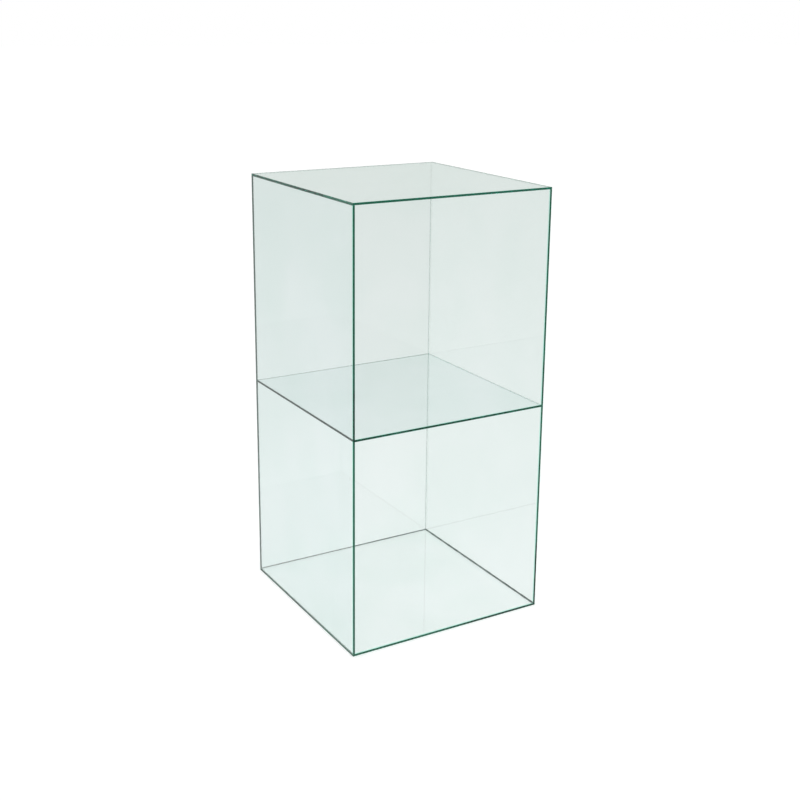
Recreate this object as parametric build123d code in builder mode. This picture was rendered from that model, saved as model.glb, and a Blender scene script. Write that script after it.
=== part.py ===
from build123d import *
import os

# Free-standing two-tier display case, open at the front.
# Six clear sheets, square-cut with polished arrises, are cemented edge to face.
# X is the width, -Y the open front, Z the height, and Z = 0 the underside of the base.

# Driving sizes, in millimetres
case_width = 400.0  # over the side sheets
case_depth = 400.0  # from the open front to the outer face of the back
case_height = 812.0  # from the floor to the upper face of the top
lower_clear = 400.0  # clear height of the lower bay, from the base to the shelf
sheet = 4.0  # thickness of every sheet
arris = 0.4  # leg of the 45 degree bevel round both faces of a sheet
bond = 0.2  # thickness of the cured cement film in a joint

# Heights, where the upper bay takes what the sheets and the lower bay leave
shelf_underside = sheet + lower_clear
top_underside = case_height - sheet

# Sheets that stand or lie between others leave room for a film at each joint
wall_height = case_height - 2 * (sheet + bond)
inner_width = case_width - 2 * (sheet + bond)
shelf_depth = case_depth - sheet - bond

# Places of faces and centre planes
side_face = case_width / 2 - sheet  # inner face of a side sheet, each side of X = 0
side_centre = case_width / 2 - sheet / 2
front_edge = -case_depth / 2
back_face = case_depth / 2 - sheet  # inner face of the back sheet
back_centre = case_depth / 2 - sheet / 2
shelf_centre = shelf_underside + sheet / 2


def rim_edges(panel, normal):
    """The edges round both broad faces of a sheet, whose faces look along the given axis."""
    return panel.faces().filter_by(normal).edges()


def bond_section(plane):
    """The section of a cemented joint, seen along it: a film as wide as the sheet is thick,
    which also fills both arris grooves flush with the sheet's faces. The plane's origin is
    on the neighbour's face, and its Y direction points into the sheet that ends there."""
    half = sheet / 2
    with BuildSketch(plane) as section:
        with BuildLine():
            Polyline(
                (-half, 0),
                (half, 0),
                (half, bond + arris),
                (half - arris, bond),
                (arris - half, bond),
                (-half, bond + arris),
                close=True,
            )
        make_face()
    return section.sketch


# Base sheet, the full footprint, which everything stands on
with BuildPart() as base_panel:
    with BuildSketch(Plane.XY):
        Rectangle(case_width, case_depth)
    extrude(amount=sheet)
    chamfer(rim_edges(base_panel, Axis.Z), arris)

# Top sheet, the same blank as the base, laid on the walls
with BuildPart() as top_panel:
    with BuildSketch(Plane.XY.offset(top_underside)):
        Rectangle(case_width, case_depth)
    extrude(amount=sheet)
    chamfer(rim_edges(top_panel, Axis.Z), arris)

# Side sheets, between base and top, running from the open front to the rear
with BuildPart() as left_side_panel:
    with BuildSketch(Plane.YZ.offset(-case_width / 2)):
        with Locations((0, case_height / 2)):
            Rectangle(case_depth, wall_height)
    extrude(amount=sheet)
    chamfer(rim_edges(left_side_panel, Axis.X), arris)

with BuildPart() as right_side_panel:
    with BuildSketch(Plane.YZ.offset(side_face)):
        with Locations((0, case_height / 2)):
            Rectangle(case_depth, wall_height)
    extrude(amount=sheet)
    chamfer(rim_edges(right_side_panel, Axis.X), arris)

# Back sheet, between the side sheets and flush with their rear edges
with BuildPart() as back_panel:
    with BuildSketch(Plane.XZ.offset(-back_face)):
        with Locations((0, case_height / 2)):
            Rectangle(inner_width, wall_height)
    extrude(amount=-sheet)
    chamfer(rim_edges(back_panel, Axis.Y), arris)

# Middle shelf, between the side sheets and in front of the back, flush at the front
with BuildPart() as middle_shelf:
    with BuildSketch(Plane.XY.offset(shelf_underside)):
        with Locations((0, front_edge + shelf_depth / 2)):
            Rectangle(inner_width, shelf_depth)
    extrude(amount=sheet)
    chamfer(rim_edges(middle_shelf, Axis.Z), arris)

panels = {
    "base_panel": base_panel,
    "top_panel": top_panel,
    "left_side_panel": left_side_panel,
    "right_side_panel": right_side_panel,
    "back_panel": back_panel,
    "middle_shelf": middle_shelf,
}

# Cemented joints. Each row gives where the joint starts, on the neighbour's face, the way
# it runs, the way into the sheet that ends there, and how long that sheet's edge is.
across, rearwards, upwards = Vector(1, 0, 0), Vector(0, 1, 0), Vector(0, 0, 1)
joints = {
    "bond_base_left": ((-side_centre, front_edge, sheet), rearwards, upwards, case_depth),
    "bond_base_right": ((side_centre, front_edge, sheet), rearwards, upwards, case_depth),
    "bond_base_back": ((-inner_width / 2, back_centre, sheet), across, upwards, inner_width),
    "bond_top_left": ((-side_centre, front_edge, top_underside), rearwards, -upwards, case_depth),
    "bond_top_right": ((side_centre, front_edge, top_underside), rearwards, -upwards, case_depth),
    "bond_top_back": ((-inner_width / 2, back_centre, top_underside), across, -upwards, inner_width),
    "bond_back_left": ((-side_face, back_centre, sheet + bond), upwards, across, wall_height),
    "bond_back_right": ((side_face, back_centre, sheet + bond), upwards, -across, wall_height),
    "bond_shelf_left": ((-side_face, front_edge, shelf_centre), rearwards, across, shelf_depth),
    "bond_shelf_right": ((side_face, front_edge, shelf_centre), rearwards, -across, shelf_depth),
    "bond_shelf_back": ((-inner_width / 2, back_face, shelf_centre), across, -rearwards, inner_width),
}

# The cement stops one arris short of each corner of the sheet that it holds
bonds = {}
for name, (start, along, inwards, edge_length) in joints.items():
    end_plane = Plane(
        origin=Vector(start) + along * arris, x_dir=inwards.cross(along), z_dir=along
    )
    with BuildPart() as bond_strip:
        extrude(bond_section(end_plane), amount=edge_length - 2 * arris)
    bonds[name] = bond_strip

os.makedirs("parts", exist_ok=True)
for name, piece in {**panels, **bonds}.items():
    piece.part.label = name
    export_step(piece.part, f"parts/{name}.step")

upper_clear = top_underside - shelf_underside - sheet
print("case", case_width, "x", case_depth, "x", case_height, "mm")
print("clear heights of the bays", lower_clear, "and", upper_clear, "mm")
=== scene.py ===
import math

import bpy
import numpy as np
from mathutils import Matrix, Vector


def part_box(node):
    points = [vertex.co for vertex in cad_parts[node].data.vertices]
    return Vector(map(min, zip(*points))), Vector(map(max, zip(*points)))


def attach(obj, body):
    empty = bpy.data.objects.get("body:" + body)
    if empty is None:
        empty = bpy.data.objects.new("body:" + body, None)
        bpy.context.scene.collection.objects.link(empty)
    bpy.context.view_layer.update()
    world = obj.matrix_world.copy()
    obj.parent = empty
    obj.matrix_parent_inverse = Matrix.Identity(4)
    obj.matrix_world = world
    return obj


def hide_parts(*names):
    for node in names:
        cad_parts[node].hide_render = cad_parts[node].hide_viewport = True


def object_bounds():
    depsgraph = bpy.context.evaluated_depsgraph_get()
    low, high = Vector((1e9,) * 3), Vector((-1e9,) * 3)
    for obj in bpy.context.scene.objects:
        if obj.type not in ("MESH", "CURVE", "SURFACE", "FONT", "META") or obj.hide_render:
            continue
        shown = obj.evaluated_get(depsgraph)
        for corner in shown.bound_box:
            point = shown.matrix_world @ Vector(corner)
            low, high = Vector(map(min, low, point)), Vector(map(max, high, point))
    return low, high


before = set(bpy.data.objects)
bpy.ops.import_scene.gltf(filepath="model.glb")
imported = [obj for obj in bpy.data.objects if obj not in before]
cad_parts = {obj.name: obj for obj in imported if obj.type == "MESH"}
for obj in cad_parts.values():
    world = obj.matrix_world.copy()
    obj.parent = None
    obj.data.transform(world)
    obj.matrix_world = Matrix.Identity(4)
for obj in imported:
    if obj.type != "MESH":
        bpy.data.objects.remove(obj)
cad_low, cad_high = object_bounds()

# Camera, in front of the case and to its left, looking a little down.
# The picture is a square, cropped so that the lens axis passes above its middle.
image_side = 800  # pixels across the square picture
lens_axis = Vector((400, 340))  # the pixel that the lens axis passes through
case_middle_pixel = Vector((395.4, 392.6))  # the pixel of the case's middle
focal_pixels = 1224  # focal length, in pixels
azimuth, elevation, roll = math.radians(-30.65), math.radians(15.3), math.radians(0.56)
distance_in_heights = 2.875  # from the case's middle, in heights of the case

case_middle = (cad_low + cad_high) / 2
case_height = cad_high.z - cad_low.z
distance = distance_in_heights * case_height
to_camera = Vector(
    (
        math.sin(azimuth) * math.cos(elevation),
        -math.cos(azimuth) * math.cos(elevation),
        math.sin(elevation),
    )
)
level_right = Vector((math.cos(azimuth), math.sin(azimuth), 0))
level_up = to_camera.cross(level_right)
picture_right = level_right * math.cos(roll) + level_up * math.sin(roll)
picture_up = level_up * math.cos(roll) - level_right * math.sin(roll)
off_axis = (case_middle_pixel - lens_axis) * distance / focal_pixels

camera_data = bpy.data.cameras.new("camera")
camera_data.sensor_width = 36
camera_data.lens = focal_pixels / image_side * camera_data.sensor_width
camera_data.shift_x = (image_side / 2 - lens_axis.x) / image_side
camera_data.shift_y = (lens_axis.y - image_side / 2) / image_side
camera = bpy.data.objects.new("camera", camera_data)
bpy.context.scene.collection.objects.link(camera)
stand = case_middle + to_camera * distance - picture_right * off_axis.x + picture_up * off_axis.y
camera.matrix_world = Matrix.Translation(stand) @ Matrix(
    (picture_right, picture_up, to_camera)
).transposed().to_4x4()
bpy.context.scene.camera = camera

# Clear sheet, as all six panels are cut from it.
# Cast sheet with square sawn edges, flame polished and with a small bevel on every arris.
# Its faces are nearly colourless. Its edges are dark green, because the light that leaves
# by an edge has run a long way inside the sheet.
arris = 0.0004  # leg of the bevel round both faces
arris_crown = 0.00004  # how far polishing has left the bevel's middle proud of flat
corner_radius = 0.0005  # the corners of the outline, eased with the arrises
corner_steps = 4
arris_steps = 3
# The mint glow is painted light: a colour in the faces that stands for light from inside the sheet.
painted_glow_depth = 0.005  # how far light from inside the sheet glows mint behind a front edge


def linear(hex_colour):
    """A colour written as sRGB hex, turned to linear light, with an alpha of 1."""
    srgb = np.array([int(hex_colour[i : i + 2], 16) for i in (1, 3, 5)]) / 255
    light = np.where(srgb <= 0.04045, srgb / 12.92, ((srgb + 0.055) / 1.055) ** 2.4)
    return (*light, 1)


def add(tree, kind, inputs=None, **settings):
    """Adds a shader node, sets its settings, and gives each input a value or a link."""
    node = tree.nodes.new("ShaderNode" + kind)
    for name, value in settings.items():
        setattr(node, name, value)
    for name, value in (inputs or {}).items():
        if isinstance(value, bpy.types.NodeSocket):
            tree.links.new(value, node.inputs[name])
        else:
            node.inputs[name].default_value = value
    return node


def new_material(name):
    """An empty material that is made of nodes, and its node tree."""
    material = bpy.data.materials.new(name)
    material.use_nodes = True
    material.node_tree.nodes.clear()
    return material, material.node_tree


def new_piece(name, points, faces, slots, materials, finish_slot):
    """A mesh object at the origin, with each face in its material slot, on the root body."""
    mesh = bpy.data.meshes.new(name)
    mesh.from_pydata(points.tolist(), [], faces)
    for material in materials:
        mesh.materials.append(material)
    mesh.polygons.foreach_set("material_index", slots)
    mesh.validate()
    piece = bpy.data.objects.new(name, mesh)
    bpy.context.scene.collection.objects.link(piece)
    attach(piece, "root")
    return piece


def sheet_surface(low, high, wetted_side=None):
    """The surface of a flat sheet that fills a box, whose shortest side is its thickness.

    Round the rim it is a function of two parameters. The first goes round the outline, a
    rectangle with eased corners. The second goes through the thickness, along a profile:
    a crowned bevel, the square-cut edge, and a second bevel. A point is its corner's
    centre, plus the corner radius less the profile's inset, times the outward direction.
    The two broad faces then close the ends of the profile. A wetted side is one of the
    outline's four straight sides, which is counted from the first corner."""
    low, high = np.array(low), np.array(high)
    through = int(np.argmin(high - low))
    wide, long = (through + 1) % 3, (through + 2) % 3

    share = np.linspace(0, 1, arris_steps + 1)
    crown = arris_crown * np.sin(math.pi * share)
    bevel_inset, bevel_rise = arris * (1 - share) - crown, arris * share - crown
    inset = np.concatenate([bevel_inset, bevel_inset[::-1]])
    rise = np.concatenate([bevel_rise, high[through] - low[through] - bevel_rise[::-1]])

    quarter = np.linspace(0, math.pi / 2, corner_steps + 1)
    turn = np.concatenate([quarter + k * math.pi / 2 for k in range(4)])
    outward = np.stack([np.cos(turn), np.sin(turn)], axis=1)
    side = np.repeat([[1, 1], [-1, 1], [-1, -1], [1, -1]], corner_steps + 1, axis=0)
    middle = (low + high)[[wide, long]] / 2
    half = (high - low)[[wide, long]] / 2 - corner_radius
    corner_centre = middle + side * half

    around, along = len(turn), len(inset)
    points = np.zeros((along, around, 3))
    points[..., [wide, long]] = corner_centre + (corner_radius - inset)[:, None, None] * outward
    points[..., through] = (low[through] + rise)[:, None]

    index = np.arange(along * around).reshape(along, around)
    ahead = np.roll(index, -1, axis=1)
    rim = np.stack([index[:-1], ahead[:-1], ahead[1:], index[1:]], axis=-1).reshape(-1, 4)
    rim_slots = np.ones((along - 1, around), dtype=int)
    if wetted_side is not None:
        rim_slots[:, (wetted_side + 1) * (corner_steps + 1) - 1] = 2
    faces = [index[0, ::-1].tolist(), index[-1].tolist()] + rim.tolist()
    return points.reshape(-1, 3), faces, [0, 0] + rim_slots.ravel().tolist()


def clear_sheet_material(name, tints, shade_tint, grain, relief, painted_front_glow=None):
    """Clear sheet whose tint drifts between two colours, with a slight relief.

    The grain is the scale of the drift along the three axes, in periods per metre, and the
    relief is the height of its waves in metres. Shadow rays pass as through a thin tint.
    A painted mint glow, a colour that stands for light from inside the sheet, fades in over the last few
    millimetres before the case's open front."""
    material, tree = new_material(name)
    where = add(tree, "TexCoord")
    stretched = add(tree, "Mapping", {"Vector": where.outputs["Object"], "Scale": grain})
    drift = add(
        tree,
        "TexNoise",
        {"Vector": stretched.outputs["Vector"], "Scale": 1.0, "Detail": 3.0, "Roughness": 0.45},
    )
    tint = add(tree, "ValToRGB", {"Fac": drift.outputs["Fac"]})
    tint.color_ramp.elements[0].position = 0.35
    tint.color_ramp.elements[0].color = linear(tints[0])
    tint.color_ramp.elements[1].position = 0.65
    tint.color_ramp.elements[1].color = linear(tints[1])
    colour = tint.outputs["Color"]
    # Painted light: near the open front the faces' colour turns mint, a painted glow.
    if painted_front_glow:
        place = add(tree, "SeparateXYZ", {0: where.outputs["Object"]})
        nearness = add(
            tree,
            "MapRange",
            {
                "Value": place.outputs["Y"],
                "From Min": cad_low.y,
                "From Max": cad_low.y + painted_glow_depth,
                "To Min": 1,
                "To Max": 0,
            },
        )
        painted_glow_mix = add(
            tree,
            "Mix",
            {0: nearness.outputs["Result"], 6: colour, 7: linear(painted_front_glow)},
            data_type="RGBA",
        )
        colour = painted_glow_mix.outputs[2]
    polish = add(
        tree,
        "MapRange",
        {"Value": drift.outputs["Fac"], "From Min": 0.3, "From Max": 0.7, "To Min": 0.001, "To Max": 0.003},
    )
    waves = add(tree, "Bump", {"Height": drift.outputs["Fac"], "Strength": 1.0, "Distance": relief})
    sheet = add(
        tree,
        "BsdfPrincipled",
        {
            "Base Color": colour,
            "Roughness": polish.outputs["Result"],
            "Normal": waves.outputs["Normal"],
            "IOR": 1.49,
            "Transmission Weight": 1.0,
        },
    )
    shade = add(tree, "BsdfTransparent", {"Color": linear(shade_tint)})
    rays = add(tree, "LightPath")
    mixed = add(
        tree,
        "MixShader",
        {0: rays.outputs["Is Shadow Ray"], 1: sheet.outputs[0], 2: shade.outputs[0]},
    )
    add(tree, "OutputMaterial", {"Surface": mixed.outputs[0]})
    return material


# As cast: glossy, a cool hint of green, waves a hand wide that only bend reflections, and
# a narrow painted mint glow behind the front edges, a colour standing for light from inside the sheet
face_material = clear_sheet_material(
    "clear cast sheet face", ("#f6fbfb", "#fafdfe"), "#f6fbf9", (7, 7, 7), 0.000004, "#9df7de"
)
# Sawn and polished: deep green all along, with faint streaks a few millimetres apart
edge_material = clear_sheet_material(
    "polished green sheet edge", ("#026048", "#046c54"), "#8fb8ac", (220, 220, 220), 0.000002
)
# Wetted all through by cement: light crosses it, so it stays almost as clear as a face
wetted_material = clear_sheet_material(
    "cement-wetted sheet edge", ("#f2f8f6", "#f8fcfb"), "#f2f8f6", (150, 150, 150), 0.000002
)
sheet_materials = (face_material, edge_material, wetted_material)

# Base sheet, the full footprint, lying on the floor.
# One cut blank of the clear sheet, which carries the three walls on its upper face.
base = new_piece(
    "base_sheet", *sheet_surface(*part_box("base_panel")), sheet_materials, "clear_sheet"
)
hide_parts("base_panel")

# Side sheets, standing on the base and flush with its sides.
# Each runs from the open front to the rear, and its front edge is a dark green upright.
left_side = new_piece(
    "left_side_sheet", *sheet_surface(*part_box("left_side_panel")), sheet_materials, "clear_sheet"
)
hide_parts("left_side_panel")
right_side = new_piece(
    "right_side_sheet", *sheet_surface(*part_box("right_side_panel")), sheet_materials, "clear_sheet"
)
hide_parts("right_side_panel")

# Back sheet, standing on the base between the side sheets.
# Cement has wetted its right-hand edge all through, so that this joint hardly shows.
back = new_piece(
    "back_sheet",
    *sheet_surface(*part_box("back_panel"), wetted_side=0),
    sheet_materials,
    "clear_sheet",
)
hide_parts("back_panel")

# Middle shelf, held by its two sides and its rear edge at half the height.
# Its front edge is flush with the front edges of the side sheets.
shelf = new_piece(
    "shelf_sheet", *sheet_surface(*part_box("middle_shelf")), sheet_materials, "clear_sheet"
)
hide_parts("middle_shelf")

# Top sheet, the same blank as the base, laid on the three walls.
top = new_piece(
    "top_sheet", *sheet_surface(*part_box("top_panel")), sheet_materials, "clear_sheet"
)
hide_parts("top_panel")

# Cement in the joints, run in as a thin liquid and cured.
# Most strips are nearly clear. Some are grey, with fine bubbles, and along the base a grey bead
# runs on the inside, fullest on the right.
bead_swell = 0.15  # how much a bead's leg varies along it, as a share
bead_gap = 0.00002  # keeps a bead's flat sides off the sheets
bead_stations = 80
bead_steps = 6


def cement_material(name, colours, see_through, bubbles):
    """Cured cement with colour and cover that vary with its bubbles, which are given per
    metre. The cover is the least and the greatest share of light that it stops."""
    material, tree = new_material(name)
    where = add(tree, "TexCoord")
    speck = add(
        tree,
        "TexNoise",
        {"Vector": where.outputs["Object"], "Scale": bubbles, "Detail": 4.0, "Roughness": 0.6},
    )
    colour = add(tree, "ValToRGB", {"Fac": speck.outputs["Fac"]})
    colour.color_ramp.elements[0].position = 0.35
    colour.color_ramp.elements[0].color = linear(colours[0])
    colour.color_ramp.elements[1].position = 0.65
    colour.color_ramp.elements[1].color = linear(colours[1])
    cover = add(
        tree,
        "MapRange",
        {
            "Value": speck.outputs["Fac"],
            "From Min": 0.35,
            "From Max": 0.65,
            "To Min": see_through[0],
            "To Max": see_through[1],
        },
    )
    rough = add(
        tree,
        "MapRange",
        {"Value": speck.outputs["Fac"], "From Min": 0.3, "From Max": 0.7, "To Min": 0.22, "To Max": 0.4},
    )
    skin = add(tree, "Bump", {"Height": speck.outputs["Fac"], "Strength": 0.4, "Distance": 0.00005})
    cement = add(
        tree,
        "BsdfPrincipled",
        {
            "Base Color": colour.outputs["Color"],
            "Roughness": rough.outputs["Result"],
            "Normal": skin.outputs["Normal"],
            "IOR": 1.48,
            "Alpha": cover.outputs["Result"],
        },
    )
    add(tree, "OutputMaterial", {"Surface": cement.outputs[0]})
    return material


def bead_surface(start, along, inwards, upwards, length, bead_leg):
    """The surface of a bead in an inside corner, between two faces that meet at a right
    angle. It is a function of two parameters. The first runs along the corner. The second
    goes round the section: the corner itself, then a hollow quarter circle from one face
    to the other, whose radius swells and shrinks slowly about the bead's leg."""
    start, along, inwards, upwards = map(np.array, (start, along, inwards, upwards))
    share = np.linspace(0, 1, bead_stations)
    waves = np.sin(37 * share) + np.sin(83 * share + 1.3)
    leg = bead_leg * (1 + bead_swell * waves / 2)
    turn = np.linspace(1.5 * math.pi, math.pi, bead_steps + 1)
    hollow = 1 + np.stack([np.cos(turn), np.sin(turn)], axis=1)
    section = np.vstack([[0, 0], hollow])
    flat = leg[:, None, None] * section + bead_gap
    points = (
        start
        + share[:, None, None] * length * along
        + flat[..., :1] * inwards
        + flat[..., 1:] * upwards
    )
    around = len(section)
    index = np.arange(bead_stations * around).reshape(bead_stations, around)
    ahead = np.roll(index, -1, axis=1)
    skin = np.stack([index[:-1], ahead[:-1], ahead[1:], index[1:]], axis=-1).reshape(-1, 4)
    faces = skin.tolist() + [index[0, ::-1].tolist(), index[-1].tolist()]
    if np.dot(np.cross(inwards, upwards), along) < 0:
        faces = [face[::-1] for face in faces]
    return points.reshape(-1, 3), faces, [0] * len(faces)


# Hardly seen at all, as the joint is full and free of bubbles
clear_cement = cement_material("cured clear cement", ("#d3dcda", "#dfe6e4"), (0.0, 0.04), 90)
# A pale grey line
pale_cement = cement_material("cured pale cement", ("#bcc8c5", "#d0dad7"), (0.25, 0.45), 160)
# A darker grey line, full of fine bubbles
grey_cement = cement_material("cured grey cement", ("#5f6a68", "#7d8886"), (0.65, 0.9), 160)
joint_cements = {
    "bond_back_right": clear_cement,
    "bond_shelf_right": clear_cement,
    "bond_shelf_left": grey_cement,
    "bond_back_left": grey_cement,
    "bond_base_right": grey_cement,
    "bond_base_back": grey_cement,
}
for name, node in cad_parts.items():
    if name.startswith("bond_"):
        node.data.materials.clear()
        node.data.materials.append(joint_cements.get(name, pale_cement))

base_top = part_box("base_panel")[1][2]
inner_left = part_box("left_side_panel")[1][0]
inner_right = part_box("right_side_panel")[0][0]
inner_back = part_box("back_panel")[0][1]
front_end = cad_low.y + 0.002
across, rearwards, upwards = (1, 0, 0), (0, 1, 0), (0, 0, 1)
for name, leg, start, along, inwards, length in (
    ("left", 0.0006, (inner_left, front_end, base_top), rearwards, across, inner_back - front_end),
    ("right", 0.0024, (inner_right, front_end, base_top), rearwards, (-1, 0, 0), inner_back - front_end),
    ("back", 0.0009, (inner_left, inner_back, base_top), across, (0, -1, 0), inner_right - inner_left),
):
    surface = bead_surface(start, along, inwards, upwards, length, leg)
    new_piece("cement_bead_base_" + name, *surface, (grey_cement,), "cement")

# Floor, a pale sweep that is brightest round the case.
# Further off it is a little greener and darker. It shows white to the camera and with this
# tone through the sheets, and rays that a sheet has mirrored see a dark room in front.
near_tone = np.array([0.905, 0.945, 0.925])
far_tone = np.array([0.745, 0.795, 0.762])
fade_length = 4.0  # metres over which the tone falls off by about two thirds
once_dark = 0.55  # what is left of the tone in front of the case for rays mirrored once
deep_dark = 0.08  # and for rays mirrored more often, which have run along inside a sheet
floor_half = 30.0
floor_corners = floor_half * np.array([[-1, -1, 0], [1, -1, 0], [1, 1, 0], [-1, 1, 0]])
floor_mesh = bpy.data.meshes.new("floor")
floor_mesh.from_pydata((floor_corners - (0, 0, 0.0002)).tolist(), [], [(0, 1, 2, 3)])
floor = bpy.data.objects.new("floor", floor_mesh)
bpy.context.scene.collection.objects.link(floor)
floor_material, tree = new_material("pale studio floor")
floor_mesh.materials.append(floor_material)
rays = add(tree, "LightPath")
matte = add(tree, "BsdfDiffuse", {"Color": linear("#e7e7e7")})
seen_white = add(tree, "Emission", {"Color": (1, 1, 1, 1), "Strength": 0.30})
camera_floor = add(tree, "AddShader", {0: matte.outputs[0], 1: seen_white.outputs[0]})
where = add(tree, "TexCoord")
away = add(tree, "VectorMath", {0: where.outputs["Object"]}, operation="LENGTH")
fade = add(tree, "Math", {0: away.outputs["Value"], 1: -1 / fade_length}, operation="MULTIPLY")
near = add(tree, "Math", {0: fade.outputs[0]}, operation="EXPONENT")
tone = add(
    tree,
    "Mix",
    {0: near.outputs[0], 6: (*far_tone, 1), 7: (*near_tone, 1)},
    data_type="RGBA",
)
place = add(tree, "SeparateXYZ", {0: where.outputs["Object"]})
once_mirrored = add(
    tree, "Math", {0: rays.outputs["Glossy Depth"], 1: 0.5}, operation="GREATER_THAN"
)
often_mirrored = add(
    tree, "Math", {0: rays.outputs["Glossy Depth"], 1: 1.5}, operation="GREATER_THAN"
)
darkest = add(
    tree,
    "MapRange",
    {"Value": often_mirrored.outputs[0], "To Min": once_dark, "To Max": deep_dark},
)
front = add(
    tree,
    "MapRange",
    {
        "Value": place.outputs["Y"],
        "From Min": -0.9,
        "From Max": -0.2,
        "To Min": darkest.outputs["Result"],
        "To Max": 1,
    },
)
soft_matte = add(tree, "BsdfDiffuse", {"Color": (0.15, 0.15, 0.15, 1)})
glow = add(
    tree,
    "Mix",
    {0: 1.0, 6: tone.outputs[2], 7: (0.15, 0.15, 0.15, 1)},
    data_type="RGBA",
    blend_type="SUBTRACT",
)
through_glow = add(tree, "Emission", {"Color": glow.outputs[2], "Strength": 1})
through_tone = add(tree, "AddShader", {0: through_glow.outputs[0], 1: soft_matte.outputs[0]})
mirror_tone = add(tree, "Emission", {"Color": tone.outputs[2], "Strength": front.outputs[0]})
seen_through = add(
    tree,
    "MixShader",
    {0: rays.outputs["Is Transmission Ray"], 1: matte.outputs[0], 2: through_tone.outputs[0]},
)
seen_mirrored = add(
    tree,
    "MixShader",
    {0: once_mirrored.outputs[0], 1: seen_through.outputs[0], 2: mirror_tone.outputs[0]},
)
seen = add(
    tree,
    "MixShader",
    {0: rays.outputs["Is Camera Ray"], 1: seen_mirrored.outputs[0], 2: camera_floor.outputs[0]},
)
add(tree, "OutputMaterial", {"Surface": seen.outputs[0]})

# Backdrop, the sweep's far tone in every direction.
# It follows the floor: white to the camera, the tone through the sheets, and dark towards
# the front for mirrored rays. Everything else is lit by a plain white surround.
world = bpy.data.worlds.new("studio")
bpy.context.scene.world = world
world.use_nodes = True
tree = world.node_tree
tree.nodes.clear()
rays = add(tree, "LightPath")
direction = add(tree, "TexCoord")
parts = add(tree, "SeparateXYZ", {0: direction.outputs["Generated"]})
once_mirrored = add(
    tree, "Math", {0: rays.outputs["Glossy Depth"], 1: 0.5}, operation="GREATER_THAN"
)
often_mirrored = add(
    tree, "Math", {0: rays.outputs["Glossy Depth"], 1: 1.5}, operation="GREATER_THAN"
)
darkest = add(
    tree,
    "MapRange",
    {"Value": often_mirrored.outputs[0], "To Min": once_dark, "To Max": deep_dark},
)
behind = add(
    tree,
    "MapRange",
    {
        "Value": parts.outputs["Y"],
        "From Min": -0.55,
        "From Max": 0.2,
        "To Min": darkest.outputs["Result"],
        "To Max": 1,
    },
)
sweep = add(tree, "Background", {"Color": (*far_tone, 1), "Strength": 1})
mirrored = add(tree, "Background", {"Color": (*far_tone, 1), "Strength": behind.outputs[0]})
white = add(tree, "Background", {"Color": (1, 1, 1, 1), "Strength": 1})
light = add(tree, "Background", {"Color": (1, 1, 1, 1), "Strength": 0.6})
seen_through = add(
    tree,
    "MixShader",
    {0: rays.outputs["Is Transmission Ray"], 1: light.outputs[0], 2: sweep.outputs[0]},
)
seen_mirrored = add(
    tree,
    "MixShader",
    {0: once_mirrored.outputs[0], 1: seen_through.outputs[0], 2: mirrored.outputs[0]},
)
seen = add(
    tree,
    "MixShader",
    {0: rays.outputs["Is Camera Ray"], 1: seen_mirrored.outputs[0], 2: white.outputs[0]},
)
add(tree, "OutputWorld", {"Surface": seen.outputs[0]})

# Lamp, one broad softbox high in front and to the left.
# With the white surround it lights the pale floor to about its own colour.
lamp_data = bpy.data.lights.new("softbox", "SUN")
lamp_data.angle = math.radians(30)
lamp_data.energy = 1.3
lamp = bpy.data.objects.new("softbox", lamp_data)
lamp.rotation_euler = Vector((1.2, 1.2, -2.6)).to_track_quat("-Z", "Y").to_euler()
bpy.context.scene.collection.objects.link(lamp)

# Renderer, with room for rays that go to and fro inside a sheet before they leave it
cycles = bpy.context.scene.cycles
cycles.max_bounces = 96
cycles.glossy_bounces = 96
cycles.transmission_bounces = 64
cycles.transparent_max_bounces = 64

bpy.context.scene.view_settings.view_transform = "Standard"
